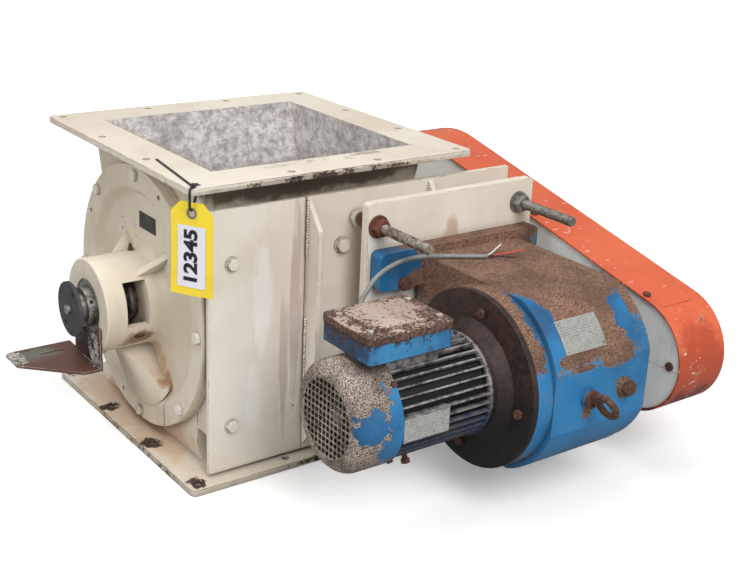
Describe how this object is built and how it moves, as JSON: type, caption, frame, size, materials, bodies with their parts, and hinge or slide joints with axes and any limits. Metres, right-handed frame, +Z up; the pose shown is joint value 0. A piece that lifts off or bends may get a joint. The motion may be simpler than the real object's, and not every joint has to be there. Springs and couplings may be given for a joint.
{
  "type": "rotary airlock valve",
  "caption": "Drop-through rotary airlock valve with square flanges, vaned rotor, side gearmotor on a take-up plate and guarded chain drive.",
  "frame": {"origin": "centre of the outlet flange's lower face, on the vertical axis through the inlet and outlet", "axes": "+Z up from outlet to inlet, +X along the rotor shaft from its free end to the chain end, gearmotor on the -Y side"},
  "size_m": [0.889, 0.9046, 0.4752],
  "materials": {
    "black_plastic": "nylon",
    "blue_paint": "chipped blue enamel with surface rust",
    "bright_steel": "zinc plated or turned steel",
    "cable_sheath": "grey sheath",
    "chain_steel": "oiled",
    "copper_pack": "wound core",
    "core_plastic": "white, black and red insulation",
    "cream_paint": "chipped cream enamel over iron and steel",
    "dark_steel": "charcoal",
    "fan_plastic": "moulded",
    "motor_alloy": "worn blue paint over finned alloy",
    "orange_paint": "scratched orange enamel",
    "packing_cord": "braided packing",
    "plate_alloy": "bare plate, left blank",
    "rotor_steel": "worn bare steel",
    "rusty_steel": "surface rust",
    "tag_card": "yellow tag stock"
  },
  "bodies": {
    "valve_body": {"housing": "cream_paint", "end_cover_nde": "cream_paint", "end_cover_de": "cream_paint", "cover_bolts_nde": "cream_paint", "cover_bolts_de": "cream_paint", "bearing_outers": "bright_steel", "shaft_packing": "packing_cord", "packing_glands": "rotor_steel", "grease_nipples": "bright_steel", "cover_nameplate": "dark_steel", "sensor_bracket": "rusty_steel", "sensor_bracket_bolts": "rusty_steel", "side_panel": "cream_paint", "side_panel_bolts": "cream_paint", "motor_bracket": "cream_paint", "bracket_bolts": "cream_paint", "takeup_studs": "bright_steel", "drive_chain": "chain_steel", "chain_guard": "orange_paint", "guard_back": "cream_paint", "guard_door": "cream_paint", "guard_screws": "bright_steel", "guard_struts": "cream_paint", "tag_tie": "black_plastic"},
    "rotor": {"rotor_shaft": "bright_steel", "rotor_key": "bright_steel", "rotor_vanes": "rotor_steel", "rotor_tips": "rotor_steel", "bearing_inners": "bright_steel", "speed_disc": "dark_steel", "disc_screw": "bright_steel", "rotor_sprocket": "chain_steel"},
    "drive_unit": {"motor_plate": "cream_paint", "takeup_nuts": "bright_steel", "gear_case": "blue_paint", "gear_cover": "blue_paint", "gear_bolts": "bright_steel", "gear_plugs": "rusty_steel", "gear_eyebolt": "rusty_steel", "gear_nameplate": "plate_alloy", "adapter_flange": "blue_paint", "adapter_bolts": "rusty_steel", "motor_frame": "motor_alloy", "motor_stator": "copper_pack", "fan_cowl": "rusty_steel", "cowl_grille": "plate_alloy", "cowl_screws": "bright_steel", "motor_nameplate": "plate_alloy", "terminal_box": "blue_paint", "terminal_cover": "rusty_steel", "terminal_screws": "bright_steel", "cable_gland": "black_plastic", "motor_cable": "cable_sheath", "cable_cores": "core_plastic"},
    "output_shaft": {"gear_shaft": "bright_steel", "gear_sprocket": "chain_steel", "gear_key": "bright_steel"},
    "motor_armature": {"motor_rotor": "bright_steel", "cooling_fan": "fan_plastic"},
    "tag": {"lot_tag": "tag_card"}
  },
  "joints": [
    {"name": "rotor_spin", "type": "hinge", "parent": "valve_body", "child": "rotor", "pos_m": [0, 0, 0.2286], "axis": [1, 0, 0], "continuous": true},
    {"name": "motor_take_up", "type": "slide", "parent": "valve_body", "child": "drive_unit", "axis": [0, -1, 0], "range_m": [-0.008, 0.025], "deforming": ["drive_chain"]},
    {"name": "gear_output_spin", "type": "hinge", "parent": "drive_unit", "child": "output_shaft", "pos_m": [0.3, -0.46671, 0.2034], "axis": [1, 0, 0], "continuous": true},
    {"name": "motor_spin", "type": "hinge", "parent": "drive_unit", "child": "motor_armature", "pos_m": [0, -0.46671, 0.2034], "axis": [1, 0, 0], "continuous": true},
    {"name": "tag_swing", "type": "hinge", "parent": "valve_body", "child": "tag", "pos_m": [-0.2445, -0.2445, 0.4411], "axis": [-0.5, 0.866, 0], "range_deg": [-10, 35]}
  ],
  "couplings": [
    {"joint": "gear_output_spin", "follows": "rotor_spin", "ratio": 3},
    {"joint": "motor_spin", "follows": "rotor_spin", "ratio": 63}
  ]
}
